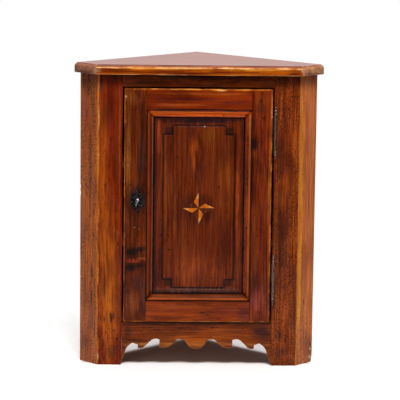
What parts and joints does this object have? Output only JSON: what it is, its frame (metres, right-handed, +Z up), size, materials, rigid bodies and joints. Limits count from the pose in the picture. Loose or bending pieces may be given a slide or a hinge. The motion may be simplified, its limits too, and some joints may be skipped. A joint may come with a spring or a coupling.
{
  "type": "corner cupboard",
  "caption": "Low corner cupboard of stained pine: canted front, one panelled door with a star inlay on lift-off hinges, moulded top, shaped apron and shelves inside.",
  "frame": {"origin": "on the floor, under the middle of the whole cupboard seen in plan (the box from the front of the key to the rear corner of the top)", "axes": "+Z up, the front with the door faces -Y, the rear corner points to +Y, +X to the right when the front is looked at"},
  "size_m": [0.7006, 0.4372, 0.86],
  "materials": {
    "golden_pine": "stained and shellacked pine, golden brown, satin with worn spots",
    "red_pine": "stained and shellacked pine, reddish brown, satin with worm holes",
    "dark_pine": "stained and shellacked pine, dark brown, satin",
    "top_pine": "stained and waxed pine, reddish brown, smooth satin",
    "raw_pine": "unfinished pine, planed, matt and aged",
    "star_light_wood": "light inlaid wood, polished flush",
    "star_dark_wood": "dark stained inlaid wood, polished flush",
    "dark_iron": "forged and filed iron, dark and slightly worn",
    "worn_steel": "turned steel, greased"
  },
  "bodies": {
    "carcass": {"left_front_stile": "golden_pine", "right_cant_board": "golden_pine", "apron": "golden_pine", "right_front_stile": "red_pine", "left_cant_board": "red_pine", "frieze_rail": "red_pine", "top_board": "top_pine", "rear_corner_post": "raw_pine", "bottom_board": "raw_pine", "lower_shelf": "raw_pine", "upper_shelf": "raw_pine", "left_back_board_1": "raw_pine", "left_back_board_2": "raw_pine", "left_back_board_3": "raw_pine", "right_back_board_1": "raw_pine", "right_back_board_2": "raw_pine", "right_back_board_3": "raw_pine", "left_bottom_cleat": "raw_pine", "left_lower_cleat": "raw_pine", "left_upper_cleat": "raw_pine", "left_top_cleat": "raw_pine", "right_bottom_cleat": "raw_pine", "right_lower_cleat": "raw_pine", "right_upper_cleat": "raw_pine", "right_top_cleat": "raw_pine", "strike_plate": "dark_iron", "upper_hinge_frame_half": "dark_iron", "lower_hinge_frame_half": "dark_iron", "upper_hinge_pin": "worn_steel", "lower_hinge_pin": "worn_steel"},
    "door": {"door_lock_stile": "golden_pine", "door_hinge_stile": "red_pine", "door_top_rail": "red_pine", "door_bottom_rail": "golden_pine", "door_peg_1": "dark_pine", "door_peg_2": "dark_pine", "door_peg_3": "dark_pine", "door_peg_4": "dark_pine", "door_panel": "dark_pine", "panel_moulding_top": "red_pine", "panel_moulding_bottom": "red_pine", "panel_moulding_left": "red_pine", "panel_moulding_right": "red_pine", "star_light_1": "star_light_wood", "star_light_2": "star_light_wood", "star_light_3": "star_light_wood", "star_light_4": "star_light_wood", "star_dark_1": "star_dark_wood", "star_dark_2": "star_dark_wood", "star_dark_3": "star_dark_wood", "star_dark_4": "star_dark_wood", "escutcheon": "dark_iron", "upper_escutcheon_pin": "dark_iron", "lower_escutcheon_pin": "dark_iron", "lock_case": "dark_iron", "upper_hinge_door_half": "dark_iron", "lower_hinge_door_half": "dark_iron"},
    "bolt": {"lock_bolt": "dark_iron"},
    "key": {"key": "dark_iron"}
  },
  "joints": [
    {"name": "door_swing", "type": "hinge", "parent": "carcass", "child": "door", "pos_m": [0.2145, -0.17662, 0.4605], "axis": [0, 0, 1], "range_deg": [0, 170]},
    {"name": "key_turn", "type": "hinge", "parent": "door", "child": "key", "pos_m": [-0.171, -0.17862, 0.477], "axis": [0, -1, 0], "range_deg": [0, 62]},
    {"name": "bolt_throw", "type": "slide", "parent": "door", "child": "bolt", "axis": [-1, 0, 0], "range_m": [0, 0.012]}
  ],
  "couplings": [
    {"joint": "key_turn", "follows": "bolt_throw", "rad_per_m": 90.1}
  ]
}
